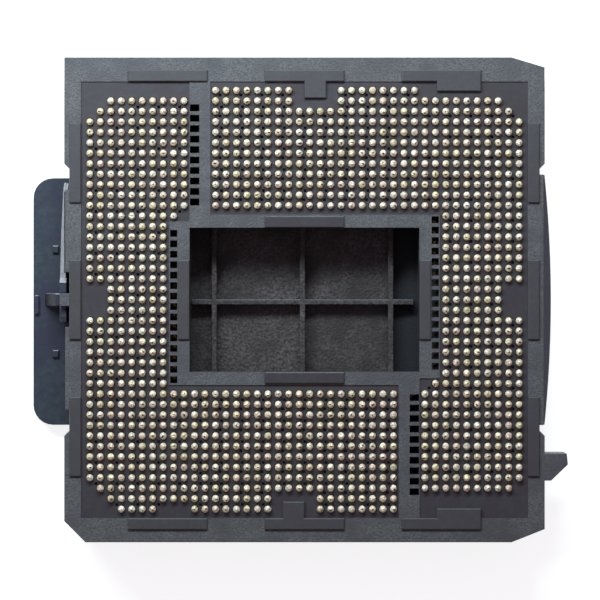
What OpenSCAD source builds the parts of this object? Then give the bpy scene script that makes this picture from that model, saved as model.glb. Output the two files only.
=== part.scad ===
// Land-grid processor socket, lying solder side up on its pickup cover.
//
// A nearly square moulded housing holds two L-shaped banks of sprung contacts round a central
// opening. Each contact stands in a round cavity and ends in a paddle with a solder ball on the
// board side (+Z). On the package side (-Z) its tip stands out of the seat of a square recess,
// and a pickup cover with a finger tab closes that recess. The floors with the cavities are
// sub-parts of their own, the contact beds, which fill the housing's frame face to face.
//
// Frame: millimetres, +Z towards the board, z = 0 on the pickup cover's outer face, and the
// origin on the axis of the land grid. Columns count towards +X and rows towards -Y.

/* [Land grid] */
// Spacing of the contacts, both ways
pitch = 0.9144; // [0.86:0.0002:1]
// Diameter of a solder ball
ball_d = 0.62; // [0.5:0.01:0.7]
// Height of a ball's centre over its flat foot
ball_rise = 0.26; // [0.15:0.01:0.28]
// Diameter of the round cavity of each contact
cavity_d = 0.8; // [0.7:0.01:0.84]

/* [Contacts] */
// Width of the stamped strip
strip_w = 0.26; // [0.16:0.01:0.3]
// Thickness of the stamped strip
strip_t = 0.08; // [0.05:0.01:0.12]
// How far the paddle's face lies below the field
paddle_sink = 0.06; // [0:0.01:0.2]
// Gap between the paddle's end and the cavity's wall
paddle_gap = 0.12; // [0.05:0.01:0.25]
// How far a contact's tip stands out of the package seat
tip_out = 0.45; // [0.3:0.01:0.5]
// Running clearance of a contact in its cavity
contact_gap = 0.02; // [0.01:0.005:0.05]

/* [Housing] */
// From the outer ball columns to the housing's sides
edge_x = 2.255; // [2:0.005:4]
// From the outer ball rows to the housing's ends
edge_y = 2.91; // [2.6:0.01:5]
// Thickness of the floor that holds the contacts
floor_t = 2.6; // [2:0.05:3.2]
// Depth of the package recess, from the rim to the seat
package_depth = 1.85; // [1.8:0.05:3]
// Side of the square package recess
package_w = 37.6; // [36.6:0.1:38]
// Radius of the half-round keys on the recess's side walls
key_r = 0.75; // [0.4:0.05:1]
// Distance of the keys from the middle, towards the cut corners
key_y = 10; // [2:0.5:14]
// Radius of the reliefs at the recess's corners
relief_r = 0.6; // [0.3:0.05:0.8]
// Width of the finger notches in the end walls
finger_w = 12; // [6:0.5:20]
// Depth of the finger notches below the rim
finger_h = 1.1; // [0.5:0.1:1.5]
// Solid web between the inner open slots and the central opening
opening_web = 1.07; // [0.6:0.01:1.1]
// From the field's inner rows to the central opening
opening_row_gap = 1.92; // [1.75:0.01:3]
// Rim of the frame between its slots and the sunk field
slot_rim = 0.08; // [0.03:0.01:0.1]
// How far the contact field is sunk below the border
field_sink = 0.1; // [0.05:0.01:0.3]
// How far the sunk field reaches past the outer balls
field_margin = 0.78; // [0.5:0.01:0.9]

/* [Board rails] */
// Height of the rails over the border
rail_h = 0.2; // [0.1:0.01:0.5]
// Width of the rails
rail_w = 1.0; // [0.6:0.05:1.1]
// Chamfer round the rails' tops
rail_chamfer = 0.08; // [0.03:0.01:0.09]
// Length of the rails
rail_l = 6.95; // [4:0.05:9]
// Spacing of the three rails along each edge
rail_pitch = 11.95; // [9.5:0.05:12.5]
// Width of the tabs on the middle end rails
rail_tab_w = 1.9; // [1:0.1:2.5]
// How far those tabs reach into the field
rail_tab_l = 1.45; // [0.5:0.05:1.6]
// Length of the wide part of the rails beside the cut corners
rail_pad_l = 3.85; // [2:0.05:5]
// How far that part reaches into the field
rail_pad_w = 0.85; // [0.3:0.05:1]

/* [Outline] */
// Cut of the plain corner, both ways
corner_cut = 1.85; // [0.5:0.05:3]
// Length of the two cut corners on the lug's side, along X
side_cut_x = 2.9; // [1:0.1:4]
// Their depth at the far end, along Y
far_cut_y = 0.87; // [0.3:0.01:2]
// Their depth at the lug's end, along Y
lug_cut_y = 1.15; // [0.3:0.01:2]
// Depth of the notches in the sides
notch_depth = 0.44; // [0.2:0.02:0.6]
// Width of a notch beside a skirt's end
notch_w = 0.5; // [0.3:0.05:1]
// How far the sides step in behind the skirts
flank_step = 0.1; // [0.05:0.01:0.3]
// How far the orientation lug stands out
lug_out = 2.03; // [1:0.05:3]
// Length of the lug along the side
lug_l = 2.38; // [1.5:0.05:4]
// Height of the lug
lug_h = 2.8; // [1:0.1:4]
// Distance of the lug's near end from the middle
lug_y = 13.43; // [12.5:0.1:15]
// Width of the latch boss in the tab-side window
boss_w = 1.13; // [0.6:0.05:2]
// How far the boss stands out of the housing's side
boss_out = 0.4; // [0.1:0.05:0.6]
// Height of the boss
boss_h = 1.2; // [0.5:0.1:2]

/* [Pickup cover] */
// Thickness of the plate
plate_t = 1.2; // [0.8:0.05:2]
// Height of the ribs on the plate's inner face
rib_h = 1.2; // [0.5:0.05:1.25]
// Thickness of the ribs
rib_t = 0.47; // [0.3:0.01:0.8]
// Spacing of the cross ribs
rib_pitch = 7.83; // [5:0.05:9]
// How far the finger tab stands out of the housing's side
tab_out = 3.15; // [2:0.05:8]
// Width of the finger tab
tab_w = 22; // [12:0.5:22]
// Corner radius of the finger tab
tab_r = 1.75; // [0.5:0.05:3]
// Height of the gusset between the tab and the latch, over the plate
gusset_h = 3.2; // [1:0.1:3.3]
// Length of the gusset along the tab
gusset_l = 1.65; // [0.5:0.05:2.2]
// Length of its level top
gusset_top = 0.45; // [0.2:0.05:0.5]
// Height of the grip and the nubs over the tab
grip_h = 0.3; // [0.1:0.05:0.6]
// Width of the grip at the tab's edge
grip_w = 0.36; // [0.2:0.02:0.6]
// Length of the grip along the edge
grip_l = 1.7; // [1:0.1:4]
// Distance of the grip's outer side from the tab's edge
grip_inset = 0.15; // [0.05:0.01:0.4]
// Distance of the nubs from the middle of the tab
nub_y = 4.65; // [3:0.05:7]
// Side skirts: length of the long one
skirt_l = 21.9; // [16:0.1:23]
// Thickness of the skirts at their ends
skirt_t = 0.12; // [0.08:0.01:0.3]
// How far the long skirt bows outwards at the middle
skirt_bow = 0.6; // [0.2:0.05:1]
// How far the tab-side skirt bows outwards
tab_skirt_bow = 0.4; // [0.2:0.05:0.6]
// Height of the skirts' inner edges over the plate's outer face
skirt_h = 4.9; // [2.5:0.05:5]
// Fall of their sloped tops, for each unit outwards
skirt_slope = 0.8; // [0.2:0.05:1.2]
// Length of the slope at the tab-side skirt's far end
skirt_lead = 0.65; // [0.2:0.05:1]
// Width of each latch post beside the boss
post_w = 1.33; // [0.8:0.05:2]
// Thickness of the latch posts
post_t = 0.6; // [0.3:0.05:0.8]
// Height of the latch posts
post_h = 5.2; // [3:0.1:5.5]
// Slope along the top of each post, away from the boss
post_slope = 0.4; // [0.1:0.05:0.6]

/* [Fits] */
// Clearance between the cover and the housing
cover_gap = 0.05; // [0.02:0.01:0.1]
// Side clearance of the cover's locating ribs in the package recess
locate_gap = 0.2; // [0.1:0.05:0.4]
// Room between the latch posts and the window's ends
window_gap = 0.45; // [0.2:0.05:0.8]
// Room behind the latch posts
post_gap = 0.3; // [0.1:0.05:0.35]

/* [Hidden] */
rows = 41;
cols = 42;

// Occupied blocks of each bank: [first row, last row, first column, last column].
bank_a = [
    [1, 1, 2, 9], [2, 2, 1, 9], [3, 11, 0, 9], [12, 12, 0, 8], [13, 18, 0, 7], [19, 21, 2, 7],
    [22, 28, 0, 7], [29, 37, 0, 29], [38, 38, 1, 29], [39, 39, 2, 17], [39, 39, 22, 29],
    [40, 40, 3, 6], [40, 40, 10, 17], [40, 40, 22, 29]
];
bank_b = [
    [0, 0, 12, 19], [0, 0, 24, 31], [1, 1, 12, 19], [1, 1, 24, 39], [2, 2, 12, 40],
    [3, 11, 12, 41], [12, 18, 34, 41], [19, 21, 34, 39], [22, 27, 34, 41], [28, 28, 33, 41],
    [29, 37, 32, 41], [38, 38, 32, 40]
];

function col_x(c) = (c - (cols - 1) / 2) * pitch;
function row_y(r) = ((rows - 1) / 2 - r) * pitch;
// Columns that a bank fills in one row
function filled(bank, r) =
    [for (b = bank) if (r >= b[0] && r <= b[1]) for (c = [b[2]:b[3]]) c];

// Plan sizes, as distances from the middle
field_x = -col_x(0);
field_y = row_y(0);
side_x = field_x + edge_x;
end_y = field_y + edge_y;
flank_x = side_x - flank_step;
notch_x = side_x - notch_depth;
skirt_y = skirt_l / 2;
skirt_x = flank_x + cover_gap;

// Heights, from the cover's outer face up
rim_z = plate_t + cover_gap;
seat_z = rim_z + package_depth;
field_z = seat_z + floor_t;
border_z = field_z + field_sink;
rail_z = border_z + rail_h;
paddle_z = field_z - paddle_sink;

// The inner ends of bank A's rows and the open slots past them
inner_col = 8; // the column of the slots beside the central opening
inner_row = 11; // the last row of the field's wide upper block
last_col = 29; // the last column of the rows past the opening
slot_w = 0.63;
slot_l = 0.6;
wide_slot_w = 0.82;
slot_shift = 0.32;
slot_rows = [14:28];
wide_slot_rows = [2:inner_row];
frame_x = -col_x(inner_col) + slot_w / 2 + slot_rim;
frame_y = row_y(inner_row) - field_margin;
opening_x = -col_x(inner_col) - slot_w / 2 - opening_web;
opening_y = row_y(inner_row) - opening_row_gap;
corner_x = col_x(inner_col + 1) + pitch / 2; // where the upper block of the field ends
corner_y = row_y(inner_row + 1) - pitch / 2; // and how far down it reaches
end_bed_x = col_x(last_col) + pitch / 2;
end_bed_y = row_y(slot_rows[2]) - pitch / 2; // where the rows past the opening start
bed_x = field_x + field_margin;
bed_y = field_y + field_margin;

// Each node holds two rows of the grid, and the last one the row that is left.
row_groups = ceil(rows / 2);
function group_name(kind, g) = str(kind, g < 9 ? "_0" : "_", g + 1);

housing_black = "#4a4d54";
cover_black = "#3a3e47";
spring_bronze = "#c9a45c";
solder_grey = "#d8cfae";

e = 0.01; // how far a cutter runs past the face that it cuts
round_fn = 48; // steps of a round form

// Repeats its children for the second bank, which is the first one turned half round.
module both_banks() {
    for (turn = [0, 180])
        rotate(turn)
            children();
}

// Places its children at each contact of one row. Bank A's contacts lean towards +X and +Y, and
// bank B's are turned half round.
module each_contact(r) {
    for (c = filled(bank_a, r))
        translate([col_x(c), row_y(r), 0])
            children();
    for (c = filled(bank_b, r))
        translate([col_x(c), row_y(r), 0])
            rotate(180)
                children();
}

// ---- Contacts and balls ----

// A stamped strip, bent from a paddle under the ball, down an upright at the back of its cavity,
// into a beam that leaves the cavity's mouth and leans one column and half a row over.
module contact() {
    lean = [pitch, pitch / 2];
    back = contact_gap - sqrt(pow(cavity_d / 2, 2) - pow(strip_w / 2, 2));
    front = back + strip_t;
    paddle_end = cavity_d / 2 - paddle_gap;
    mouth_run = -back - front;
    tip_run = norm(lean) - front;
    bend_z = seat_z + tip_out * mouth_run / (tip_run - mouth_run);
    tip_z = seat_z - tip_out;
    color(spring_bronze)
        rotate([90, 0, atan2(lean.y, lean.x)])
            linear_extrude(strip_w, center = true)
                polygon([
                    [back, paddle_z], [paddle_end, paddle_z], [paddle_end, paddle_z - strip_t],
                    [front, paddle_z - strip_t], [front, bend_z], [front + tip_run, tip_z],
                    [front + tip_run - strip_t, tip_z - strip_t / 4], [back, bend_z - strip_t / 2]
                ]);
}

module ball() {
    r = ball_d / 2;
    color(solder_grey)
        translate([0, 0, paddle_z + ball_rise])
            difference() {
                sphere(r, $fn = round_fn);
                translate([-r, -r, -ball_rise - r])
                    cube([ball_d, ball_d, r]);
            }
}

module row_group(g) {
    for (r = [2 * g:min(2 * g + 1, rows - 1)])
        each_contact(r)
            children();
}

// ---- Housing ----

// The outline of one side's lower half, from its middle to its end
function right_side() = [
    [flank_x, 0], [flank_x, skirt_y], [notch_x, skirt_y], [notch_x, skirt_y + notch_w],
    [side_x, skirt_y + notch_w + notch_depth]
];
function left_side() = [
    [notch_x, 0], [notch_x, window_y], [flank_x, window_y], [flank_x, step_y],
    [notch_x, step_y], [notch_x, skirt_y + notch_w], [side_x, skirt_y + notch_w + notch_depth]
];
window_y = boss_w / 2 + cover_gap + post_w + window_gap; // half the latch window
step_y = skirt_y - 1.3; // where the tab side steps in again, inside the skirt's end

function flip_y(points) = [for (p = points) [p.x, -p.y]];
function flip_x(points) = [for (p = points) [-p.x, p.y]];
function reverse(points) = [for (i = [len(points) - 1:-1:0]) points[i]];

module housing_plan() {
    polygon(concat(
        [[-side_x, end_y], [side_x - side_cut_x, end_y], [side_x, end_y - far_cut_y]],
        reverse(right_side()),
        flip_y(right_side()),
        [[side_x, -end_y + lug_cut_y], [side_x - side_cut_x, -end_y]],
        [[-side_x + corner_cut, -end_y], [-side_x, -end_y + corner_cut]],
        reverse(flip_x(flip_y(left_side()))),
        flip_x(left_side())
    ));
}

// The lug that shows which way round the socket goes on the board
module orientation_lug() {
    tip = 0.97; // how far the lug's end face runs along the side
    draft = 0.1; // how far that face leans
    root = 0.56; // width that is left at its sloped end
    translate([0, 0, border_z - lug_h])
        linear_extrude(lug_h)
            polygon([
                [flank_x, -lug_y], [side_x + lug_out - draft, -lug_y],
                [side_x + lug_out, -lug_y - tip], [side_x + root, -lug_y - lug_l],
                [flank_x, -lug_y - lug_l]
            ]);
}

module latch_boss() {
    translate([-side_x - boss_out, -boss_w / 2, border_z - boss_h])
        cube([side_x + boss_out - notch_x + e, boss_w, boss_h]);
}

// A rail's section, or its side view, with the top edges broken
module rail_profile(w) {
    half = w / 2;
    polygon([
        [-half, field_z], [half, field_z], [half, rail_z - rail_chamfer],
        [half - rail_chamfer, rail_z], [-half + rail_chamfer, rail_z],
        [-half, rail_z - rail_chamfer]
    ]);
}

module rail(l, w) {
    intersection() {
        rotate([90, 0, 90])
            linear_extrude(l, center = true)
                rail_profile(w);
        rotate([90, 0, 0])
            linear_extrude(w, center = true)
                rail_profile(l);
    }
}

// Standoff rails: three along each edge, and one on each side of the central opening. Their tabs
// and wide parts start at the rails' middle lines.
module board_rails() {
    end_rail_y = bed_y + rail_w / 2;
    side_rail_x = bed_x + rail_w / 2;
    both_banks() {
        for (i = [-1:1]) {
            translate([i * rail_pitch, end_rail_y, 0])
                rail(rail_l, rail_w);
            translate([side_rail_x, i * rail_pitch, 0])
                rail(rail_w, rail_l);
        }
        translate([rail_tab_w / 2, end_rail_y - (rail_w / 2 + rail_tab_l) / 2, 0])
            rail(rail_tab_w, rail_w / 2 + rail_tab_l);
        translate([opening_x + rail_w / 2, 0, 0])
            rail(rail_w, rail_l);
        translate([0, opening_y + rail_w / 2, 0])
            rail(rail_l, rail_w);
    }
    pad_x = rail_pitch + (rail_l - rail_pad_l) / 2;
    for (s = [-1, 1])
        translate([pad_x, s * (end_rail_y - (rail_w / 2 + rail_pad_w) / 2), 0])
            rail(rail_pad_l, rail_w / 2 + rail_pad_w);
}

// Plans of bank A's contact beds, which share their edges
module corner_bed_plan() {
    translate([-bed_x, corner_y])
        square([bed_x + corner_x, bed_y - corner_y]);
}

module side_bed_plan() {
    translate([-bed_x, end_bed_y])
        square([bed_x - frame_x, corner_y - end_bed_y]);
}

module end_bed_plan() {
    polygon([
        [-bed_x, -bed_y], [end_bed_x, -bed_y], [end_bed_x, -frame_y], [-frame_x, -frame_y],
        [-frame_x, end_bed_y], [-bed_x, end_bed_y]
    ]);
}

// The floors that one row range of bank A, and its like in bank B, stand in. Each is open at its
// contacts. The children are the plan for bank A.
module contact_bed(first_row, last_row) {
    color(housing_black)
        difference() {
            translate([0, 0, seat_z])
                linear_extrude(floor_t)
                    both_banks()
                        children();
            translate([0, 0, seat_z - e])
                linear_extrude(floor_t + 2 * e) {
                    cavities_plan(bank_a, first_row, last_row);
                    cavities_plan(bank_b, rows - 1 - last_row, rows - 1 - first_row);
                }
        }
}

module cavities_plan(bank, first_row, last_row) {
    for (r = [first_row:last_row])
        for (c = filled(bank, r))
            translate([col_x(c), row_y(r)])
                circle(d = cavity_d, $fn = round_fn);
}

// The open slots past the inner ends of bank A's rows
module open_slots_plan() {
    for (r = wide_slot_rows)
        translate([col_x(inner_col + 2), row_y(r) + slot_shift])
            square([wide_slot_w, slot_l], center = true);
    for (r = slot_rows)
        translate([col_x(inner_col), row_y(r) + slot_shift])
            square([slot_w, slot_l], center = true);
}

module package_recess() {
    half = package_w / 2;
    translate([0, 0, rim_z - e]) {
        difference() {
            translate([-half, -half, 0])
                cube([package_w, package_w, package_depth + e]);
            for (s = [-1, 1])
                translate([s * half, key_y, -e])
                    cylinder(h = package_depth + 3 * e, r = key_r, $fn = round_fn);
        }
        for (sx = [-1, 1])
            for (sy = [-1, 1])
                translate([sx * (half - relief_r / 2), sy * (half - relief_r / 2), 0])
                    cylinder(h = package_depth + e, r = relief_r, $fn = round_fn);
        translate([-finger_w / 2, -end_y - e, 0])
            cube([finger_w, 2 * (end_y + e), finger_h + e]);
    }
}

// The moulded frame round the contact beds
module housing() {
    color(housing_black) {
        difference() {
            union() {
                translate([0, 0, rim_z])
                    linear_extrude(border_z - rim_z)
                        housing_plan();
                orientation_lug();
                latch_boss();
            }
            package_recess();
            translate([-opening_x, -opening_y, rim_z])
                cube([2 * opening_x, 2 * opening_y, rail_z]);
            translate([0, 0, seat_z - e])
                linear_extrude(rail_z - seat_z)
                    both_banks() {
                        open_slots_plan();
                        corner_bed_plan();
                        side_bed_plan();
                        end_bed_plan();
                    }
        }
        board_rails();
    }
}

// ---- Pickup cover ----

plate_inset = 0.2; // how far the plate stays inside the notches
end_inset = 1.2; // and inside the housing's ends
plate_r = 1.5;
plate_x = notch_x - plate_inset;
plate_y = end_y - end_inset;
tab_x = side_x + tab_out;
tab_shift = -0.15; // the tab's middle, along Y
rib_shift = [-0.17, -0.2]; // the ribs' middle

// A rectangle with round corners, on its middle
module round_rect(w, l, r) {
    square([w - 2 * r, l], center = true);
    square([w, l - 2 * r], center = true);
    for (sx = [-1, 1])
        for (sy = [-1, 1])
            translate([sx * (w / 2 - r), sy * (l / 2 - r)])
                circle(r, $fn = round_fn);
}

module tab_plan() {
    reach = tab_x - plate_x + 2 * tab_r; // the tab's inner corners lie in the plate
    translate([-tab_x + reach / 2, tab_shift])
        round_rect(reach, tab_w, tab_r);
}

// Stiffens the tab behind the latch: level beside the boss, then sloping down to the tab
module tab_gusset() {
    inner = -side_x - boss_out - cover_gap;
    top = plate_t + gusset_h;
    rotate([90, 0, 0])
        linear_extrude(boss_w, center = true)
            polygon([
                [inner, plate_t - e], [inner, top], [inner - gusset_top, top],
                [inner - gusset_l, plate_t], [inner - gusset_l, plate_t - e]
            ]);
}

// The grip along the tab's edge, and the two nubs beside the skirt
module tab_marks() {
    nub = [0.55, 0.65];
    nub_in = 1.65; // distance of the nubs from the tab's edge
    translate([0, tab_shift, plate_t - e])
        linear_extrude(grip_h + e) {
            translate([-tab_x + grip_inset + grip_w / 2, -boss_w / 4])
                round_rect(grip_w, grip_l, grip_w / 3);
            for (s = [-1, 1])
                translate([-tab_x + nub_in, s * nub_y])
                    square(nub, center = true);
        }
}

// A side skirt on the +X side, from one end to the other: straight inside and bowed outside, with
// a top that slopes down outwards
module skirt(low_y, high_y, bow) {
    outer = skirt_x + skirt_t + bow;
    bow_r = (pow(skirt_y, 2) + pow(bow, 2)) / (2 * bow);
    foot = plate_x - e;
    intersection() {
        translate([foot, low_y, 0])
            cube([outer - foot, high_y - low_y, skirt_h]);
        translate([outer - bow_r, 0, -e])
            cylinder(h = skirt_h + 2 * e, r = bow_r, $fn = 12 * round_fn);
        rotate([90, 0, 0])
            linear_extrude(2 * skirt_l, center = true)
                polygon([
                    [foot, 0], [outer, 0], [outer, skirt_h - skirt_slope * (outer - skirt_x)],
                    [skirt_x, skirt_h], [skirt_x, plate_t], [foot, plate_t]
                ]);
    }
}

// The whole length on the lug's side, and only past the latch on the tab's side
module skirts() {
    far_y = step_y + skirt_lead;
    near_y = window_y - window_gap;
    skirt(-skirt_y, skirt_y, skirt_bow);
    mirror([1, 0, 0])
        difference() {
            skirt(near_y, far_y, tab_skirt_bow);
            translate([skirt_x - 1, far_y, skirt_h - skirt_lead])
                rotate([45, 0, 0])
                    cube([2, 2 * skirt_lead, 2 * skirt_lead]);
        }
}

// The posts that flank the housing's boss. They reach into the latch window, and their tops slope
// away from the boss.
module latch_posts() {
    post_x = notch_x + post_gap;
    start = boss_w / 2 + cover_gap;
    for (s = [0, 1])
        mirror([0, s, 0])
            translate([-post_x, start, 0])
                rotate([90, 0, -90])
                    linear_extrude(post_t)
                        polygon([
                            [0, 0], [0, post_h], [-post_w + post_slope, post_h],
                            [-post_w, post_h - post_slope], [-post_w, 0]
                        ]);
}

// Stiffening ribs on the inner face, and the ribs that locate in the package recess
module inner_ribs() {
    locate = package_w / 2 - locate_gap;
    reach = locate - relief_r - key_r;
    cross_l = 2 * (opening_x - locate_gap);
    translate([0, 0, plate_t - e])
        linear_extrude(rib_h + e) {
            translate(rib_shift)
                square([cross_l, rib_t], center = true);
            for (i = [-1:1])
                translate([i * rib_pitch + rib_shift.x, 0])
                    square([rib_t, 2 * locate], center = true);
            for (s = [-1, 1])
                translate([0, s * (locate - rib_t / 2)])
                    square([2 * reach, rib_t], center = true);
        }
}

module pickup_cover() {
    color(cover_black) {
        linear_extrude(plate_t) {
            round_rect(2 * plate_x, 2 * plate_y, plate_r);
            tab_plan();
        }
        tab_gusset();
        tab_marks();
        skirts();
        latch_posts();
        inner_ribs();
    }
}

housing();
contact_bed(1, slot_rows[0] - 2) corner_bed_plan();  // contact_bed_corner
contact_bed(slot_rows[0] - 1, slot_rows[2]) side_bed_plan();  // contact_bed_side
contact_bed(slot_rows[2] + 1, rows - 1) end_bed_plan();  // contact_bed_end
pickup_cover();
for (g = [0:row_groups - 1]) {
    row_group(g) contact();
    row_group(g) ball();
}
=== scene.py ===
"""Looks of a land-grid processor socket that lies solder side up on its pickup cover.

Distances are written in millimetres and turned to metres by MM. The frame is the CAD's: +Z is up,
towards the board, and z = 0 is the outer face of the pickup cover. Columns of the land grid count
towards +X and rows towards -Y.
"""

import math
import random

import bmesh
import bpy
import numpy as np
from mathutils import Matrix, Vector


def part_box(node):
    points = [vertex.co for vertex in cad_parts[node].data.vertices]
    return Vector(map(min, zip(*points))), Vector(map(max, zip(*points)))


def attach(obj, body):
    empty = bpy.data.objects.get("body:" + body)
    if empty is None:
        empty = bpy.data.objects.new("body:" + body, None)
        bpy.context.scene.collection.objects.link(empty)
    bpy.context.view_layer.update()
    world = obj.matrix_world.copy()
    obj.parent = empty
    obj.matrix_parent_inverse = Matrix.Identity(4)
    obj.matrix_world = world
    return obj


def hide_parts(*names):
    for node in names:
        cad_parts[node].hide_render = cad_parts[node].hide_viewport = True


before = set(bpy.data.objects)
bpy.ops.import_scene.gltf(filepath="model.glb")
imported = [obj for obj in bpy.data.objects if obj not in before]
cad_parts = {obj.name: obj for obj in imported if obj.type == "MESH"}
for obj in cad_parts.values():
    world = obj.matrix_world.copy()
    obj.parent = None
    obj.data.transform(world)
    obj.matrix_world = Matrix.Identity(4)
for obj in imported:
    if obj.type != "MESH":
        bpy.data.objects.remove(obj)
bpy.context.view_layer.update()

MM = 0.001
PITCH = 0.9144  # spacing of the contacts, both ways
MID_COLUMN, MID_ROW = 20.5, 20  # the socket's middle, in columns and rows
BALL_D = 0.62
BALL_RISE = 0.26  # height of a ball's centre over its flat foot
CAVITY_D = 0.74


# ---- Sizes ----


def box_mm(node):
    """The lowest and highest corners of a CAD node, in millimetres."""
    low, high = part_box(node)
    return low / MM, high / MM


def points_mm(node):
    """The points of a CAD node's mesh, in millimetres."""
    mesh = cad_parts[node].data
    points = np.empty(len(mesh.vertices) * 3)
    mesh.vertices.foreach_get("co", points)
    return points.reshape(-1, 3) / MM


def ball_tops(node):
    """The top point of each ball of a node."""
    points = points_mm(node)
    top = points[:, 2].max()
    near = points[points[:, 2] > top - 0.001]
    cells = np.unique(np.round(near[:, :2] / (PITCH / 2)).astype(int), axis=0)
    return [Vector((x * PITCH / 2, y * PITCH / 2, top)) for x, y in cells]


BALL_NODES = sorted(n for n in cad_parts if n.startswith("solder_balls_"))
TOPS = {name: ball_tops(name) for name in BALL_NODES}

housing_low, housing_high = box_mm("housing")
cover_low = box_mm("pickup_cover")[0]

# The housing, from its upper face down and from its middle out.
RAIL_Z = housing_high.z  # top of the standoff rails
BORDER_Z = RAIL_Z - 0.2  # the face that the rails stand on
FIELD_Z = BORDER_Z - 0.1  # the sunk floor round the balls
SEAT_Z = FIELD_Z - 2.6  # where the package rests
RIM_Z = housing_low.z
END_Y = housing_high.y
FIELD_X, FIELD_Y = MID_COLUMN * PITCH, MID_ROW * PITCH  # the outer columns and rows
SIDE_X = FIELD_X + 2.255
FLANK_X = SIDE_X - 0.1  # behind the skirts
NOTCH_X = SIDE_X - 0.44
SKIRT_Y = 10.95  # half the length of the long skirt
STEP_Y = SKIRT_Y - 1.3
WINDOW_Y = 2.395  # half the latch window
BOSS_W, BOSS_OUT = 1.13, 0.4
RECESS, KEY_Y, KEY_R, RELIEF_R = 18.8, 10, 0.75, 0.6  # half the recess, its keys and corners

# The two banks of contacts, and the opening between them.
BED_X, BED_Y = FIELD_X + 0.78, FIELD_Y + 0.78
SLOT_W, WIDE_SLOT_W, SLOT_L, SLOT_SHIFT = 0.63, 0.82, 0.6, 0.32
FRAME_X = 12.5 * PITCH + SLOT_W / 2 + 0.08
FRAME_Y = 9 * PITCH - 0.78
CORNER_X, CORNER_Y = -11 * PITCH, 7.5 * PITCH
END_BED_X = 9 * PITCH
OPEN_X = 12.5 * PITCH - SLOT_W / 2 - 1.07
OPEN_Y = 9 * PITCH - 1.92

# The small square pits between the balls.
PIT, PIT_SHIFT = 0.25, 0.06
PITS_LEFT_OUT = ((2.5, 1.5), (0.5, 3.5), (8.5, 35.5))
PITS_ADDED = [(10.5, 36.5), (11.5, 37.5)]  # in the first bank alone

# The pickup cover.
PLATE_T = 1.2
ROOT_Z = PLATE_T - 0.2  # where the forms on the plate are rooted in it
PLATE_X, PLATE_Y, PLATE_R = NOTCH_X - 0.2, END_Y - 1.2, 1.5
TAB_X, TAB_W, TAB_R, TAB_Y = -cover_low.x, 22, 1.75, -0.15
SKIRT_X = FLANK_X + 0.05
SKIRT_H, SKIRT_LEAD = 4.9, 0.65  # height, and the bevel that leads the housing in
RIB_H, RIB_T, RIB_STEP, RIB_X, RIB_Y = 1.2, 0.47, 7.83, -0.17, -0.2
# The next height is the top of a thin sheet on the plate beside the last rib. It carries painted shade,
# the shadow of the opening's right wall.
SHADE_SHEET_Z = PLATE_T + 0.04  # the smooth pad beside the last rib
EJECTOR_R, EJECTORS = 0.75, ((-3.9, -2.0), (4.1, 14), (-12, -14), (13, -12))


# ---- Modelling helpers ----

SHARP = math.radians(30)  # an edge whose faces turn less than this is left as it is


def deselect():
    """Leaves edit mode, and leaves nothing selected."""
    if bpy.context.object and bpy.context.object.mode != "OBJECT":
        bpy.ops.object.mode_set(mode="OBJECT")
    bpy.ops.object.select_all(action="DESELECT")


def activate(obj):
    """Selects this object alone."""
    deselect()
    obj.select_set(True)
    bpy.context.view_layer.objects.active = obj


def settle(obj):
    """Puts the object at the origin with its place in its mesh."""
    activate(obj)
    bpy.ops.object.transform_apply(location=True, rotation=True, scale=True)
    return obj


def block(name, low, high):
    """A box between two corners."""
    low, high = Vector(low), Vector(high)
    deselect()
    bpy.ops.mesh.primitive_cube_add(size=1, location=(low + high) / 2 * MM, scale=(high - low) * MM)
    obj = bpy.context.object
    obj.name = name
    return settle(obj)


def prism(name, outline, low, high, axis="Z"):
    """An outline drawn point by point on a filled circle, and extruded along an axis."""
    order = {"X": (2, 0, 1), "Y": (0, 2, 1), "Z": (0, 1, 2)}[axis]

    def place(u, v, w):
        return Vector([(u, v, w)[i] for i in order]) * MM

    deselect()
    bpy.ops.mesh.primitive_circle_add(vertices=len(outline), fill_type="NGON", radius=MM)
    obj = bpy.context.object
    obj.name = name
    for vertex, (u, v) in zip(obj.data.polygons[0].vertices, outline):
        obj.data.vertices[vertex].co = place(u, v, low)
    bpy.ops.object.mode_set(mode="EDIT")
    bpy.ops.mesh.select_all(action="SELECT")
    lift = place(0, 0, high - low)
    bpy.ops.mesh.extrude_region_move(TRANSFORM_OT_translate={"value": lift})
    bpy.ops.mesh.select_all(action="SELECT")
    bpy.ops.mesh.normals_make_consistent(inside=False)
    bpy.ops.object.mode_set(mode="OBJECT")
    return settle(obj)


def column(name, centre, radius, low_z, high_z, sides):
    """An upright round bar, which is used as a cutter or a filler."""
    deselect()
    bpy.ops.mesh.primitive_cylinder_add(
        vertices=sides,
        radius=radius * MM,
        depth=(high_z - low_z) * MM,
        location=Vector((*centre, (low_z + high_z) / 2)) * MM,
    )
    obj = bpy.context.object
    obj.name = name
    return settle(obj)


def copies(name, one, places):
    """One mesh with a copy of the piece at each place. The piece itself is removed."""
    mesh = bmesh.new()
    for place in places:
        start = len(mesh.verts)
        mesh.from_mesh(one.data)
        mesh.verts.ensure_lookup_table()
        bmesh.ops.translate(mesh, verts=mesh.verts[start:], vec=Vector(place) * MM)
    return from_bmesh(name, mesh, one)


def from_bmesh(name, mesh, one):
    """Makes the mesh an object, and removes the piece that it was built from."""
    data = bpy.data.meshes.new(name)
    mesh.to_mesh(data)
    mesh.free()
    obj = bpy.data.objects.new(name, data)
    bpy.context.scene.collection.objects.link(obj)
    bpy.data.objects.remove(one)
    return obj


def join(name, parts):
    """Makes several pieces that don't touch one object."""
    deselect()
    for part in parts:
        part.select_set(True)
    bpy.context.view_layer.objects.active = parts[0]
    bpy.ops.object.join()
    parts[0].name = name
    return parts[0]


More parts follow.
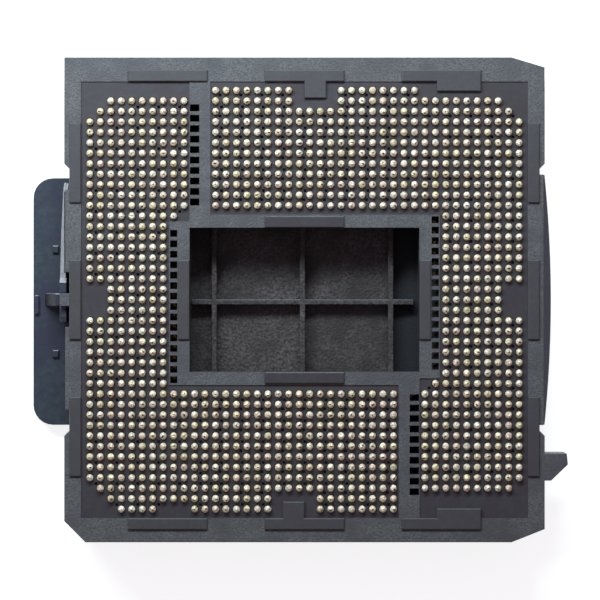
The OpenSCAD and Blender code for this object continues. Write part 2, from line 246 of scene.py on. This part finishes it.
def combine(obj, other, operation):
    """Cuts the other piece out of obj, or adds it to obj, and removes the other piece."""
    activate(obj)
    step = obj.modifiers.new("combine", "BOOLEAN")
    step.operation = operation
    step.solver = "MANIFOLD"
    step.object = other
    bpy.ops.object.modifier_apply(modifier=step.name)
    bpy.data.objects.remove(other)


def cut(obj, other):
    combine(obj, other, "DIFFERENCE")


def add(obj, other):
    combine(obj, other, "UNION")


def break_edges(obj, width, segments=2, chosen=lambda a, b: True):
    """Rounds the sharp edges for which chosen(edge start, edge end), in millimetres, is true."""
    activate(obj)
    bpy.ops.object.mode_set(mode="EDIT")
    bpy.ops.mesh.select_mode(type="EDGE")
    bpy.ops.mesh.select_all(action="DESELECT")
    mesh = bmesh.from_edit_mesh(obj.data)
    for edge in mesh.edges:
        a, b = (v.co / MM for v in edge.verts)
        sharp = len(edge.link_faces) == 2 and edge.calc_face_angle() > SHARP
        edge.select_set(sharp and chosen(a, b))
    bmesh.update_edit_mesh(obj.data)
    bpy.ops.mesh.bevel(offset=width * MM, segments=segments, affect="EDGES", clamp_overlap=True)
    bpy.ops.mesh.select_mode(type="VERT")
    bpy.ops.object.mode_set(mode="OBJECT")
    return obj


def over(z):
    """Chooses the edges that lie at this height or above it."""
    return lambda a, b: min(a.z, b.z) > z - 0.001


def round_rect(centre, width, length, radius, steps=6):
    """A rectangle with round corners, point by point."""
    points = []
    for corner, (sx, sy) in enumerate([(1, 1), (-1, 1), (-1, -1), (1, -1)]):
        x = centre[0] + sx * (width / 2 - radius)
        y = centre[1] + sy * (length / 2 - radius)
        for i in range(steps + 1):
            turn = math.pi / 2 * (corner + i / steps)
            points.append((x + radius * math.cos(turn), y + radius * math.sin(turn)))
    return points


def turned(outline):
    """The outline turned half round, as the second bank is."""
    return [(-x, -y) for x, y in outline]


# ---- Housing ----


def side_outline():
    """The +X side from the lug's end up: set back behind the skirt, with a notch past its ends."""
    upper = [
        (FLANK_X, SKIRT_Y),
        (NOTCH_X, SKIRT_Y),
        (NOTCH_X, SKIRT_Y + 0.5),
        (SIDE_X, SKIRT_Y + 0.94),
    ]
    return [(x, -y) for x, y in upper[::-1]] + upper


def tab_side_outline():
    """The -X side from its far end down, with the window of the latch in its middle."""
    upper = [
        (-SIDE_X, SKIRT_Y + 0.94),
        (-NOTCH_X, SKIRT_Y + 0.5),
        (-NOTCH_X, STEP_Y),
        (-FLANK_X, STEP_Y),
        (-FLANK_X, WINDOW_Y),
        (-NOTCH_X, WINDOW_Y),
    ]
    return upper + [(x, -y) for x, y in upper[::-1]]


def housing_outline():
    """The housing from above, with its cut corners, from its lower left corner round."""
    return (
        [(-SIDE_X + 1.85, -END_Y), (SIDE_X - 2.9, -END_Y), (SIDE_X, -END_Y + 1.15)]
        + side_outline()
        + [(SIDE_X, END_Y - 0.87), (SIDE_X - 2.9, END_Y), (-SIDE_X, END_Y)]
        + tab_side_outline()
        + [(-SIDE_X, -END_Y + 1.85)]
    )


def field_outline():
    """The sunk field of the first bank, shaped like an L with a foot at its upper end."""
    return [
        (-BED_X, BED_Y),
        (CORNER_X, BED_Y),
        (CORNER_X, CORNER_Y),
        (-FRAME_X, CORNER_Y),
        (-FRAME_X, -FRAME_Y),
        (END_BED_X, -FRAME_Y),
        (END_BED_X, -BED_Y),
        (-BED_X, -BED_Y),
    ]


def rail(x, y):
    """A standoff rail between two x and two y values, with its upper edges broken."""
    obj = block("rail", (min(x), min(y), FIELD_Z - 0.3), (max(x), max(y), RAIL_Z))
    return break_edges(obj, 0.08, chosen=over(RAIL_Z))


def rails():
    """Three standoff rails along each edge, and one on each side of the central opening."""
    half, width, step = 3.475, 1.0, 11.95
    made = []
    for s in (-1, 1):
        for i in (-1, 0, 1):
            along = (i * step - half, i * step + half)
            made.append(rail(along, (s * BED_Y, s * (BED_Y + width))))
            made.append(rail((s * BED_X, s * (BED_X + width)), along))
        made.append(rail((0, s * 1.9), (s * (BED_Y - 1.45), s * (BED_Y + width / 2))))
        pad_x = (step + half - 3.85, step + half)
        made.append(rail(pad_x, (s * (BED_Y - 0.85), s * (BED_Y + width / 2))))
        made.append(rail((s * OPEN_X, s * (OPEN_X + width)), (-half, half)))
        made.append(rail((-half, half), (s * OPEN_Y, s * (OPEN_Y + width))))
    return made


def slots():
    """Open slots past the inner ends of the first bank's rows, and the same turned half round."""
    made = []
    places = [(r, -10.5, WIDE_SLOT_W) for r in range(2, 12)]
    places += [(r, -12.5, SLOT_W) for r in range(14, 29)]
    for bank in (1, -1):
        for row, column_x, width in places:
            x, y = bank * column_x * PITCH, bank * ((MID_ROW - row) * PITCH + SLOT_SHIFT)
            low = (x - width / 2, y - SLOT_L / 2, SEAT_Z - 1)
            made.append(block("slot", low, (x + width / 2, y + SLOT_L / 2, RAIL_Z)))
    return join("slots", made)


# The balls' places in half pitches from the middle.
GRID = {(round(t.x / PITCH * 2), round(t.y / PITCH * 2)) for tops in TOPS.values() for t in tops}


def pit_places(bank):
    """The small square pits, each in the middle of two columns and two rows of balls.

    A pit needs at least three of its four balls. Places are (column, row) of the pit's middle,
    counted for the first bank.
    """
    places = []
    for column_pair in range(15):
        for row_pair in range(20):
            x, y = 0.5 + 2 * column_pair, 1.5 + 2 * row_pair
            balls = sum(
                (round(2 * bank * (x + dx - MID_COLUMN)), round(2 * bank * (MID_ROW - y - dy))) in GRID
                for dx in (-0.5, 0.5)
                for dy in (-0.5, 0.5)
            )
            if balls >= 3 and (x, y) not in PITS_LEFT_OUT:
                places.append((x, y))
    return places + PITS_ADDED if bank == 1 else places


def pits():
    """A cutter for all the pits. Each sits a little off the middle of its four balls."""
    places = []
    for bank in (1, -1):
        for column_x, row in pit_places(bank):
            x = (column_x - MID_COLUMN) * PITCH + PIT_SHIFT
            y = (MID_ROW - row) * PITCH - PIT_SHIFT
            places.append((bank * x, bank * y, FIELD_Z))
    one = block("pit", (-PIT / 2, -PIT / 2, -0.5), (PIT / 2, PIT / 2, 0.05))
    return copies("pits", one, places)


def lug():
    """The pointed lug on the +X side that shows which way round the socket is."""
    lug_y = -13.43
    outline = [
        (FLANK_X - 0.3, lug_y),
        (SIDE_X + 1.93, lug_y),
        (SIDE_X + 2.03, lug_y - 0.97),
        (SIDE_X + 0.56, lug_y - 2.38),
        (FLANK_X - 0.3, lug_y - 2.38),
    ]
    return break_edges(prism("lug", outline, BORDER_Z - 2.8, BORDER_Z), 0.06)


def boss():
    """The boss in the latch window that the cover's posts hold."""
    low = (-SIDE_X - BOSS_OUT, -BOSS_W / 2, BORDER_Z - 1.2)
    return break_edges(block("boss", low, (-SIDE_X + 1, BOSS_W / 2, BORDER_Z)), 0.06)


def package_recess():
    """The square recess for the package, with half-round keys and relieved corners."""
    recess = block("recess", (-RECESS, -RECESS, RIM_Z - 1), (RECESS, RECESS, SEAT_Z))
    for s in (-1, 1):
        cut(recess, column("key", (s * RECESS, KEY_Y), KEY_R, RIM_Z - 2, SEAT_Z + 1, 24))
        for t in (-1, 1):
            place = (s * (RECESS - RELIEF_R / 2), t * (RECESS - RELIEF_R / 2))
            add(recess, column("relief", place, RELIEF_R, RIM_Z - 1, SEAT_Z, 24))
    add(recess, block("finger", (-6, -END_Y - 1, RIM_Z - 1), (6, END_Y + 1, RIM_Z + 1.1)))
    return recess


def make_housing():
    """Frame, floors and rails in one, as they are moulded, then every hole cut through it."""
    body = prism("socket_housing", housing_outline(), RIM_Z, BORDER_Z)
    break_edges(body, 0.07, chosen=over(BORDER_Z))
    add(body, lug())
    add(body, boss())
    for outline in (field_outline(), turned(field_outline())):
        cut(body, prism("field", outline, FIELD_Z, RAIL_Z))
    for part in rails():
        add(body, part)
    cut(body, package_recess())
    opening = block("opening", (-OPEN_X, -OPEN_Y, 0), (OPEN_X, OPEN_Y, RAIL_Z + 1))
    cut(body, opening)
    cut(body, slots())
    hole = column("hole", (0, 0), CAVITY_D / 2, SEAT_Z - 1, FIELD_Z + 0.05, 12)
    places = [(t.x, t.y, 0) for tops in TOPS.values() for t in tops]
    cut(body, copies("cavities", hole, places))
    cut(body, pits())
    return body


# ---- Solder balls ----


def make_balls(name):
    """The balls of one node: spheres with a flat foot, each a little off the next.

    Two attributes tell them apart in the material: ball_tone, from 0 to 1, and ball_dark_reflection,
    the place across the ball measured from a dark spot near its top, in units of the spot's size.
    The spot is a painted reflection of the dark space straight above the ball. The spots are nearly
    twice as long as they are wide, and one ball in five has hardly any.
    """
    number = name.rsplit("_", 1)[1]
    rng = random.Random(int(number))
    deselect()
    bpy.ops.mesh.primitive_uv_sphere_add(segments=10, ring_count=6, radius=BALL_D / 2 * MM)
    one = settle(bpy.context.object)
    bpy.ops.object.shade_smooth()
    mesh = bmesh.new()
    tone_layer = mesh.verts.layers.float.new("ball_tone")
    reflection_layer = mesh.verts.layers.float_vector.new("ball_dark_reflection")
    for top in TOPS[name]:
        start = len(mesh.verts)
        mesh.from_mesh(one.data)
        mesh.verts.ensure_lookup_table()
        ball = mesh.verts[start:]
        turn = Matrix.Rotation(rng.uniform(0, math.tau), 3, "Z")
        stretch = Matrix.Diagonal((rng.uniform(0.99, 1.05), rng.uniform(1.01, 1.07), 1))
        tone = rng.random()
        # The painted reflection of the dark space above: its place on this ball, its turn and its size.
        reflection_at = Vector((rng.gauss(0.02, 0.05), rng.gauss(-0.05, 0.05), 0))
        reflection_turn = Matrix.Rotation(rng.gauss(0.2, 0.5), 3, "Z")
        reflection_size = rng.uniform(0.03, 0.11) if rng.random() < 0.8 else 0.01
        centre = Vector((top.x, top.y, top.z - BALL_D / 2))
        for vert in ball:
            at = stretch @ (turn @ vert.co) / MM
            at *= 1 + rng.gauss(0, 0.012)
            at.z = min(max(at.z, -BALL_RISE), BALL_D / 2)
            away = reflection_turn @ (Vector((at.x, at.y, 0)) - reflection_at)
            vert[tone_layer] = tone
            vert[reflection_layer] = Vector((away.x / reflection_size, 1.8 * away.y / reflection_size, 0))
            vert.co = (centre + at) * MM
    return from_bmesh(f"solder_row_pair_{number}", mesh, one)


# ---- Pickup cover ----


def skirt(name, side, low_y, high_y, bow):
    """A side skirt: straight inside and bowed outside, with a top that slopes down outwards."""
    thickness, slope, foot = 0.12, 0.8, PLATE_X - 0.3
    outer = SKIRT_X + thickness + bow
    bow_r = (SKIRT_Y**2 + bow**2) / (2 * bow)
    ys = np.linspace(low_y, high_y, 25)
    bowed = [(outer - bow_r + math.sqrt(bow_r**2 - y**2), y) for y in ys]
    body = prism(name, [(SKIRT_X, high_y), (SKIRT_X, low_y)] + bowed, 0, SKIRT_H)
    for vertex in body.data.vertices:
        if vertex.co.z > 0.001 * MM:
            vertex.co.z -= slope * (vertex.co.x - SKIRT_X * MM)
    web = [(foot, low_y), (SKIRT_X + 0.02, low_y), (SKIRT_X + 0.02, high_y), (foot, high_y)]
    add(body, prism("web", web, 0, PLATE_T - 0.01))
    if side < 0:
        wedge = [
            (high_y - SKIRT_LEAD, SKIRT_H),
            (high_y + 1, SKIRT_H - SKIRT_LEAD - 1),
            (high_y + 1, SKIRT_H + 1),
        ]
        cut(body, prism("lead", wedge, SKIRT_X - 1, outer + 1, "X"))
        for vertex in body.data.vertices:
            vertex.co.x *= -1
        body.data.flip_normals()
    return body


def latch_posts():
    """The posts beside the housing's boss. Their tops slope away from it."""
    width, thickness, height, fall = 1.33, 0.6, 5.2, 0.4
    inner, start = NOTCH_X + 0.3, BOSS_W / 2 + 0.05
    made = []
    for s in (-1, 1):
        outline = [
            (s * start, 0.1),
            (s * start, height),
            (s * (start + width - fall), height),
            (s * (start + width), height - fall),
            (s * (start + width), 0.1),
        ]
        made.append(break_edges(prism("post", outline, -inner - thickness, -inner, "X"), 0.05))
    return made


def gusset():
    """Stiffens the tab behind the latch: level beside the boss, then sloping down to the tab."""
    inner, height, length, level = -SIDE_X - BOSS_OUT - 0.05, 3.2, 1.65, 0.45
    outline = [
        (inner, ROOT_Z),
        (inner, PLATE_T + height),
        (inner - level, PLATE_T + height),
        (inner - length, PLATE_T),
        (inner - length, ROOT_Z),
    ]
    return break_edges(prism("gusset", outline, -BOSS_W / 2, BOSS_W / 2, "Y"), 0.09)


def tab_marks():
    """The grip along the tab's edge, and the two nubs beside the skirt."""
    high, nub_w, nub_l = PLATE_T + 0.3, 0.275, 0.325
    grip = round_rect((-TAB_X + 0.33, TAB_Y - BOSS_W / 4), 0.36, 1.7, 0.12, 3)
    made = [break_edges(prism("grip", grip, ROOT_Z, high), 0.06, chosen=over(high))]
    for s in (-1, 1):
        x, y = -TAB_X + 2.0, TAB_Y + s * 4.65
        nub = block("nub", (x - nub_w, y - nub_l, ROOT_Z), (x + nub_w, y + nub_l, high))
        made.append(break_edges(nub, 0.08, chosen=over(high)))
    return made


def skirt_end():
    """Fills the tab side's skirt up to the housing at its upper end, and lines its inner face."""
    start = STEP_Y - 0.05
    outline = [
        (start, ROOT_Z),
        (start, SKIRT_H),
        (start + SKIRT_LEAD, SKIRT_H - SKIRT_LEAD),
        (start + SKIRT_LEAD, ROOT_Z),
    ]
    end = prism("skirt_end", outline, -SKIRT_X - 0.1, -SKIRT_X + 0.2, "X")
    low, high = (-SKIRT_X - 0.13, WINDOW_Y, ROOT_Z), (-SKIRT_X, start - 0.1, SKIRT_H + 0.03)
    return [end, block("lining", low, high)]


def inner_ribs():
    """Stiffening ribs on the inner face, and the ribs that locate in the package recess."""
    locate = RECESS - 0.2
    reach = locate - RELIEF_R - KEY_R
    cross = OPEN_X - 0.2
    low, high, half = ROOT_Z, PLATE_T + RIB_H, RIB_T / 2
    made = [block("rib", (RIB_X - cross, RIB_Y - half, low), (RIB_X + cross, RIB_Y + half, high))]
    for i in (-1, 0, 1):
        x = RIB_X + i * RIB_STEP
        made.append(block("rib", (x - half, -locate, low), (x + half, locate, high)))
    for s in (-1, 1):
        y = sorted((s * locate, s * (locate - RIB_T)))
        made.append(block("rib", (-reach, y[0], low), (reach, y[1], high)))
    return [break_edges(part, 0.06, chosen=over(high)) for part in made]


def make_cover():
    """Plate and finger tab with rounded edges, then all that stands on them."""
    plate = round_rect((0, 0), 2 * PLATE_X, 2 * PLATE_Y, PLATE_R)
    body = prism("socket_cover", plate, 0, PLATE_T)
    reach = TAB_X - PLATE_X + 2 * TAB_R
    tab = round_rect((-TAB_X + reach / 2, TAB_Y), reach, TAB_W, TAB_R)
    add(body, prism("tab", tab, 0, PLATE_T))
    break_edges(body, 0.15, 3, lambda a, b: abs(a.z - b.z) < 0.001)
    parts = [
        skirt("long_skirt", 1, -SKIRT_Y, SKIRT_Y, 0.6),
        skirt("tab_skirt", -1, WINDOW_Y - 0.45, STEP_Y + SKIRT_LEAD, 0.4),
        gusset(),
    ]
    for part in parts + latch_posts() + tab_marks() + skirt_end() + inner_ribs():
        add(body, part)
    # A thin sheet beside the last rib, painted dark as the shadow of the opening's right wall.
    shaded_bay = RIB_X + RIB_STEP + RIB_T / 2
    add(body, block("shaded_bay", (shaded_bay, -OPEN_Y - 1, ROOT_Z), (OPEN_X + 1, OPEN_Y + 1, SHADE_SHEET_Z)))
    for place in EJECTORS:
        cut(body, column("ejector", place, EJECTOR_R, PLATE_T - 0.06, PLATE_T + 1, 32))
    return body


# ---- Materials ----

FLOW_MM = 2.5  # width of the marks that the flowing plastic leaves


def colour(code):
    """An sRGB hex value as the linear colour that a socket takes."""
    parts = (int(code[i : i + 2], 16) / 255 for i in (1, 3, 5))
    return (*(p / 12.92 if p <= 0.04045 else ((p + 0.055) / 1.055) ** 2.4 for p in parts), 1)


def new_material(name):
    material = bpy.data.materials.new(name)
    material.use_nodes = True
    return material, material.node_tree.nodes["Principled BSDF"]


def socket(sockets, name):
    """A socket by its identifier, or by its name."""
    return next((s for s in sockets if s.identifier == name), None) or sockets[name]


def fill(material, target, inputs):
    """Sets a node's inputs. A value that starts with a node is a link: (node, output)."""
    for name, value in inputs.items():
        entry = socket(target.inputs, name)
        if isinstance(value, tuple) and isinstance(value[0], bpy.types.Node):
            material.node_tree.links.new(socket(value[0].outputs, value[1]), entry)
        else:
            entry.default_value = value


def node(material, kind, inputs, **settings):
    """Adds a node with its settings, values and links."""
    made = material.node_tree.nodes.new("ShaderNode" + kind)
    for name, value in settings.items():
        setattr(made, name, value)
    fill(material, made, inputs)
    return made


def ramp(material, source, stops):
    """A colour ramp over a node's output, with (position, hex) stops."""
    made = node(material, "ValToRGB", {"Fac": source})
    while len(made.color_ramp.elements) < len(stops):
        made.color_ramp.elements.new(0.5)
    for element, (position, code) in zip(made.color_ramp.elements, stops):
        element.position = position
        element.color = colour(code)
    return made, "Color"


def noise(material, size_mm, detail=2.0, rough=0.5):
    """Noise fixed to the object, with blotches of about this size."""
    place = node(material, "TexCoord", {})
    inputs = {"Vector": (place, "Object"), "Scale": 1 / (size_mm * MM)}
    return node(material, "TexNoise", {**inputs, "Detail": detail, "Roughness": rough})


def mix(material, factor, a, b):
    """One colour passing into another as the factor goes from 0 to 1."""
    inputs = {"Factor_Float": factor, "A_Color": a, "B_Color": b}
    return node(material, "Mix", inputs, data_type="RGBA"), "Result_Color"


def bump(material, height, depth_mm):
    """Relief of this depth from a node's output."""
    made = node(material, "Bump", {"Height": height, "Strength": 1.0, "Distance": depth_mm * MM})
    return made, "Normal"


def moulded(name, dark, light, grain_mm, relief_mm, roughness, flow):
    """Moulded plastic: a grain in tone and relief, with flow marks in patches a few mm wide.

    A spark-eroded mould leaves a grain of about 0.05 mm. It is drawn coarser, so that it shows.
    """
    material, shader = new_material(name)
    grain = noise(material, grain_mm, 2.0, 0.6)
    tone = ramp(material, (grain, "Fac"), [(0.32, dark), (0.7, light)])
    streams = noise(material, FLOW_MM, 3.0, 0.6)
    patches = {"Value": (streams, "Fac"), "From Min": 0.4, "From Max": 0.65}
    patches = node(material, "MapRange", patches)
    tinted = mix(material, (patches, "Result"), tone, colour(flow))
    fill(
        material,
        shader,
        {
            "Base Color": tinted,
            "Normal": bump(material, (grain, "Fac"), relief_mm),
            "Roughness": roughness,
        },
    )
    return material


def solder():
    """Tin-silver solder, melted on: a soft cream shine under a skin of oxide.

    No two balls have quite the same cream, and most have a small dark brown spot near the top: a
    painted reflection of the dark space straight above the ball. A broad relief breaks up the
    highlight, as on a wrinkled skin.
    """
    material, shader = new_material("tin_silver_solder")
    tone = node(material, "Attribute", {}, attribute_name="ball_tone")
    creams = ["#ecdbb4", "#f1e0c0", "#f5e9d2", "#f3e2cb", "#efd5bb"]
    base = ramp(material, (tone, "Fac"), [(i / 4, c) for i, c in enumerate(creams)])
    # The dark brown spot near each ball's top is a painted reflection of the dark space above it.
    dark_reflection = node(material, "Attribute", {}, attribute_name="ball_dark_reflection")
    wobble = (noise(material, 0.12, 1.0), "Color")
    scaled = {"Vector": wobble, "Vector_001": (1.4, 1.4, 1.4), "Vector_002": (-0.7, -0.7, -0.7)}
    shift = node(material, "VectorMath", scaled, operation="MULTIPLY_ADD")
    moved = {"Vector": (dark_reflection, "Vector"), "Vector_001": (shift, "Vector")}
    moved = node(material, "VectorMath", moved, operation="ADD")
    reach = node(material, "VectorMath", {"Vector": (moved, "Vector")}, operation="LENGTH")
    beyond_reflection = {"Value": (reach, "Value"), "From Min": 0.95, "From Max": 1.65}
    beyond_reflection = node(material, "MapRange", beyond_reflection)
    fill(
        material,
        shader,
        {
            "Base Color": mix(material, (beyond_reflection, "Result"), colour("#4c3220"), base),
            "Normal": bump(material, (noise(material, 0.3, 1.0), "Fac"), 0.23),
            "Metallic": 0.35,
            "Roughness": 0.5,
        },
    )
    return material


def contact_metal():
    """Stamped copper alloy: yellow gold flash at the tips, and above them a dull grey nickel."""
    material, shader = new_material("gold_flashed_copper_alloy")
    place = node(material, "TexCoord", {})
    height = node(material, "SeparateXYZ", {"Vector": (place, "Object")})
    plated = {"Value": (height, "Z"), "From Min": (SEAT_Z - 0.2) * MM, "From Max": (SEAT_Z + 0.2) * MM}
    plated = node(material, "MapRange", plated)
    streaks = ramp(material, (noise(material, 0.2), "Fac"), [(0.3, "#b89552"), (0.7, "#d8b46a")])
    bare = colour("#8c8474")
    fill(
        material,
        shader,
        {
            "Base Color": mix(material, (plated, "Result"), streaks, bare),
            "Metallic": 1.0,
            "Roughness": 0.35,
        },
    )
    return material


def paint(obj, *materials):
    """Gives the object these materials in place of those that it has."""
    obj.data.materials.clear()
    for material in materials:
        obj.data.materials.append(material)


# ---- Finishes ----

# The housing is liquid crystal polymer, filled with glass and injection moulded: a neutral dark
# grey. Where the mould was smooth it has a low, even sheen and hardly any tone of its own.
smooth_lcp = moulded("lcp_moulded_smooth", "#3e3a3e", "#454346", 0.5, 0.01, 0.42, "#423a3f")
# The rails' tops are a shade paler, with a duller satin sheen.
rail_lcp = moulded("lcp_moulded_satin", "#454245", "#4c494c", 0.4, 0.01, 0.5, "#464145")
# The border has the fine grain of a spark-eroded mould, which scatters light and looks paler.
grained_lcp = moulded("lcp_spark_grained", "#464447", "#6b696b", 0.14, 0.05, 0.6, "#4f4c50")
# The cover is nylon, injection moulded. Its tab and skirts are satin: a cold blue-grey sheen.
cover_satin = moulded("nylon_moulded_satin", "#343a44", "#3f4851", 0.5, 0.015, 0.4, "#373749")
# The plate was grained in the mould by sparks: brownish black, rough and speckled.
cover_grain = moulded("nylon_spark_grained", "#241f20", "#5f5556", 0.25, 0.06, 0.6, "#2f2828")
# Painted shade: the thin sheet beside the last rib and the gusset's slope are painted close to
# plain black, the sheet for the shadow of the opening's right wall, the slope darker than it is lit.
painted_shade_nylon = moulded("nylon_painted_shade", "#131216", "#211f26", 0.25, 0.03, 0.75, "#18161c")
# Painted highlight: the top of the tab side's skirt and the faces there that tilt up towards +Y
# are painted near white, where the light from the upper left would catch them.
painted_highlight_nylon = moulded("nylon_painted_highlight", "#8e8b8f", "#b3b0b3", 0.3, 0.03, 0.5, "#9a979b")

SMOOTH, GRAINED, RAIL_TOP = range(3)  # the housing's finishes, in their order on it
# The cover's third and fourth materials are a painted highlight and painted shade, not finishes.
SATIN, ROUGH, PAINTED_HIGHLIGHT, PAINTED_SHADE = range(4)  # the cover's


def housing_finish(polygon):
    """The border is grained, and the rails on it are satin. All else is smooth."""
    x, y, z = polygon.center / MM
    if polygon.normal.z <= 0.3 or z <= BORDER_Z - 0.05:
        return SMOOTH
    if z < BORDER_Z + 0.01:
        return GRAINED
    by_opening = abs(x) <= 4 and abs(y) <= 9
    return SMOOTH if by_opening else RAIL_TOP


def cover_finish(polygon):
    """The plate is rough where it shows through the opening. Tab, skirts and slopes are satin, with a
    painted highlight on the tab side's skirt top and faces there tilted up towards +Y, and painted
    shade on the gusset's slope and the sheet beside the last rib.
    """
    x, y, z = polygon.center / MM
    normal = polygon.normal
    # Painted shade: the gusset's slope and the sheet beside the last rib are painted near black.
    gusset_slope = x < -SIDE_X and normal.x < -0.7 and normal.z > 0.2
    if gusset_slope or abs(z - SHADE_SHEET_Z) < 0.005:
        return PAINTED_SHADE
    # Painted highlight: the tab side's skirt top and its faces tilted up towards +Y are painted near
    # white.
    tab_side = x < -SKIRT_X + 0.2
    skirt_edge = (x < -SKIRT_X - 0.14 and y > 1.5) or (tab_side and y > STEP_Y)
    skirt_top = skirt_edge and z > 3.5 and normal.z > 0.2
    if skirt_top or normal.y * normal.z > 0.12:
        return PAINTED_HIGHLIGHT if tab_side and z > PLATE_T + 0.1 else SATIN
    in_opening = abs(x) < OPEN_X + 4 and abs(y) < PLATE_Y and z > PLATE_T - 0.1
    return ROUGH if in_opening else SATIN


# ---- Put together ----

housing = make_housing()
paint(housing, smooth_lcp, grained_lcp, rail_lcp)
for polygon in housing.data.polygons:
    polygon.material_index = housing_finish(polygon)
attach(housing, "socket")
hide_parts(*[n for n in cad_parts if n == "housing" or n.startswith("contact_bed")])

cover = make_cover()
paint(cover, cover_satin, cover_grain, painted_highlight_nylon, painted_shade_nylon)
for polygon in cover.data.polygons:
    polygon.material_index = cover_finish(polygon)
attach(cover, "cover")
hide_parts("pickup_cover")

tin_silver = solder()
for name in BALL_NODES:
    balls = make_balls(name)
    paint(balls, tin_silver)
    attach(balls, "socket")
    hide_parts(name)

alloy = contact_metal()
for name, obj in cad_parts.items():
    if name.startswith("contacts_"):
        paint(obj, alloy)


# ---- Floor, light and camera ----


def make_floor():
    """A white sheet, turned up all round far away, so that low views end on it too.

    It lies 0.1 mm under the cover. Matt white paper: it shows no gloss, and keeps a soft shadow.
    """
    deselect()
    bpy.ops.mesh.primitive_cylinder_add(vertices=64, radius=2, depth=0.5, location=(0, 0, 0.2499))
    floor = settle(bpy.context.object)
    mesh = bmesh.new()
    mesh.from_mesh(floor.data)
    bmesh.ops.delete(mesh, geom=[f for f in mesh.faces if f.normal.z > 0.5], context="FACES_ONLY")
    bmesh.ops.reverse_faces(mesh, faces=mesh.faces)
    mesh.to_mesh(floor.data)
    mesh.free()
    floor.name = "floor"
    material, shader = new_material("white_paper")
    fill(material, shader, {"Base Color": (0.8, 0.8, 0.8, 1), "Roughness": 0.9})
    rays = node(material, "LightPath", {})
    seen = {"Value": (rays, "Is Camera Ray"), "Value_001": (rays, "Is Glossy Ray")}
    seen = node(material, "Math", seen, operation="MAXIMUM")
    glow = node(material, "Emission", {"Strength": 0.8})
    both = node(material, "AddShader", {"Shader": (shader, "BSDF"), "Shader_001": (glow, "Emission")})
    picks = {"Fac": (seen, "Value"), "Shader": (shader, "BSDF"), "Shader_001": (both, "Shader")}
    pick = node(material, "MixShader", picks)
    fill(material, material.node_tree.nodes["Material Output"], {"Surface": (pick, "Shader")})
    paint(floor, material)


def lamp(name, azimuth, elevation, distance, width, height, level, tint):
    """A flat lamp aimed at the middle of the socket.

    The level is what it adds to a white surface that lies flat there, where 1 is white.
    """
    turn, rise = math.radians(azimuth), math.radians(elevation)
    towards = Vector((math.cos(turn) * math.cos(rise), math.sin(turn) * math.cos(rise), math.sin(rise)))
    data = bpy.data.lights.new(name, "AREA")
    data.shape = "RECTANGLE"
    data.size = width
    data.size_y = height
    data.energy = level * math.pi**2 * distance**2 / math.sin(rise)
    data.color = colour(tint)[:3]
    obj = bpy.data.objects.new(name, data)
    bpy.context.scene.collection.objects.link(obj)
    obj.location = towards * distance
    obj.rotation_euler = towards.to_track_quat("Z", "Y").to_euler()
    obj.visible_camera = False


def make_light():
    """Even light from all round, and one long narrow lamp as from a window."""
    world = bpy.data.worlds.new("room")
    bpy.context.scene.world = world
    world.use_nodes = True
    sky = world.node_tree.nodes["Background"]
    sky.inputs["Color"].default_value = colour("#fff0ff")
    sky.inputs["Strength"].default_value = 0.19
    lamp("window", 108, 45, 0.1, 0.12, 0.013, 1.15, "#e0f4fb")


def make_camera():
    """Straight above the socket, far enough away for its sides to show only a little."""
    aim, distance = (-0.39, -0.02, 5.9), 230
    data = bpy.data.cameras.new("camera")
    data.lens = 158
    data.sensor_width = 36
    data.clip_start = 0.01
    camera = bpy.data.objects.new("camera", data)
    bpy.context.scene.collection.objects.link(camera)
    camera.location = Vector((aim[0], aim[1], aim[2] + distance)) * MM
    bpy.context.scene.camera = camera


make_floor()
make_light()
make_camera()
bpy.context.scene.view_settings.view_transform = "Standard"
